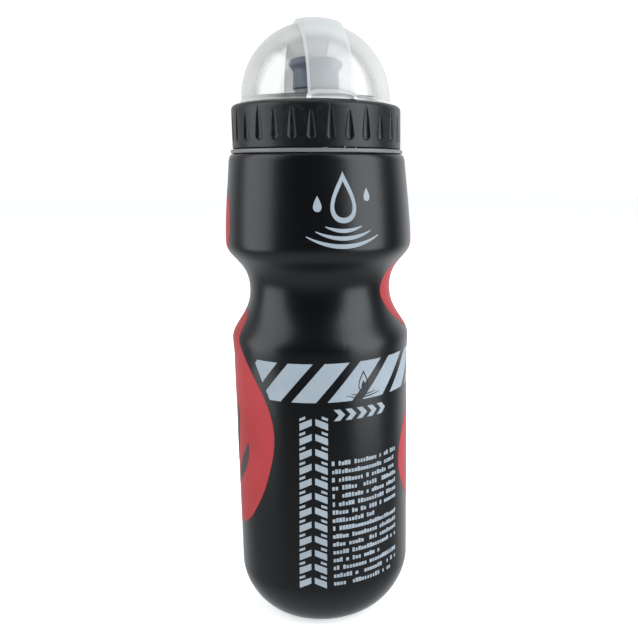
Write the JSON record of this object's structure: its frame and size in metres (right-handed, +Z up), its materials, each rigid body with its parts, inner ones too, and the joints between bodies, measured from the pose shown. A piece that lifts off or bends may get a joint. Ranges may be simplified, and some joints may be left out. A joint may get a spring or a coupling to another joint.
{
  "type": "bicycle water bottle",
  "caption": "Black squeeze bottle with a grip waist, screw lid, pull-up drinking nozzle and clear domed dust cover.",
  "frame": {"origin": "centre of the foot ring, on the bottle's axis, at the height it stands on", "axes": "+Z up the bottle's axis, -Y the printed front, +X to the right of the front"},
  "size_m": [0.0764, 0.0764, 0.2487],
  "materials": {
    "bottle_plastic": "satin black blow-moulded polyethylene with a printed band, red side panels and pale marks",
    "seal_rubber": "translucent milky grey, satin",
    "lid_plastic": "matte charcoal with a fine moulded texture",
    "stem_plastic": "matte grey",
    "o_ring_rubber": "matte black",
    "sleeve_plastic": "satin slate",
    "mouth_rubber": "soft matte slate blue",
    "cover_plastic": "clear glossy plastic with a frosted strap"
  },
  "bodies": {
    "bottle": {"bottle_body": "bottle_plastic"},
    "seal": {"seal_ring": "seal_rubber"},
    "lid": {"screw_lid": "lid_plastic", "valve_stem": "stem_plastic", "stem_o_ring": "o_ring_rubber"},
    "nozzle": {"nozzle_sleeve": "sleeve_plastic", "mouthpiece": "mouth_rubber"},
    "cover": {"dust_cover": "cover_plastic"}
  },
  "joints": [
    {"name": "lid_lift", "type": "slide", "parent": "bottle", "child": "seal", "axis": [0, 0, 1], "range_m": [0, 0.018]},
    {"name": "lid_turn", "type": "hinge", "parent": "seal", "child": "lid", "pos_m": [0, 0, 0.198], "axis": [0, 0, 1], "range_deg": [0, 1440]},
    {"name": "nozzle_pull", "type": "slide", "parent": "lid", "child": "nozzle", "axis": [0, 0, 1], "range_m": [0, 0.006]},
    {"name": "cover_lift", "type": "slide", "parent": "lid", "child": "cover", "axis": [0, 0, 1], "range_m": [0, 0.045]}
  ],
  "couplings": [
    {"joint": "lid_lift", "follows": "lid_turn", "m_per_rad": 0.0007162}
  ]
}
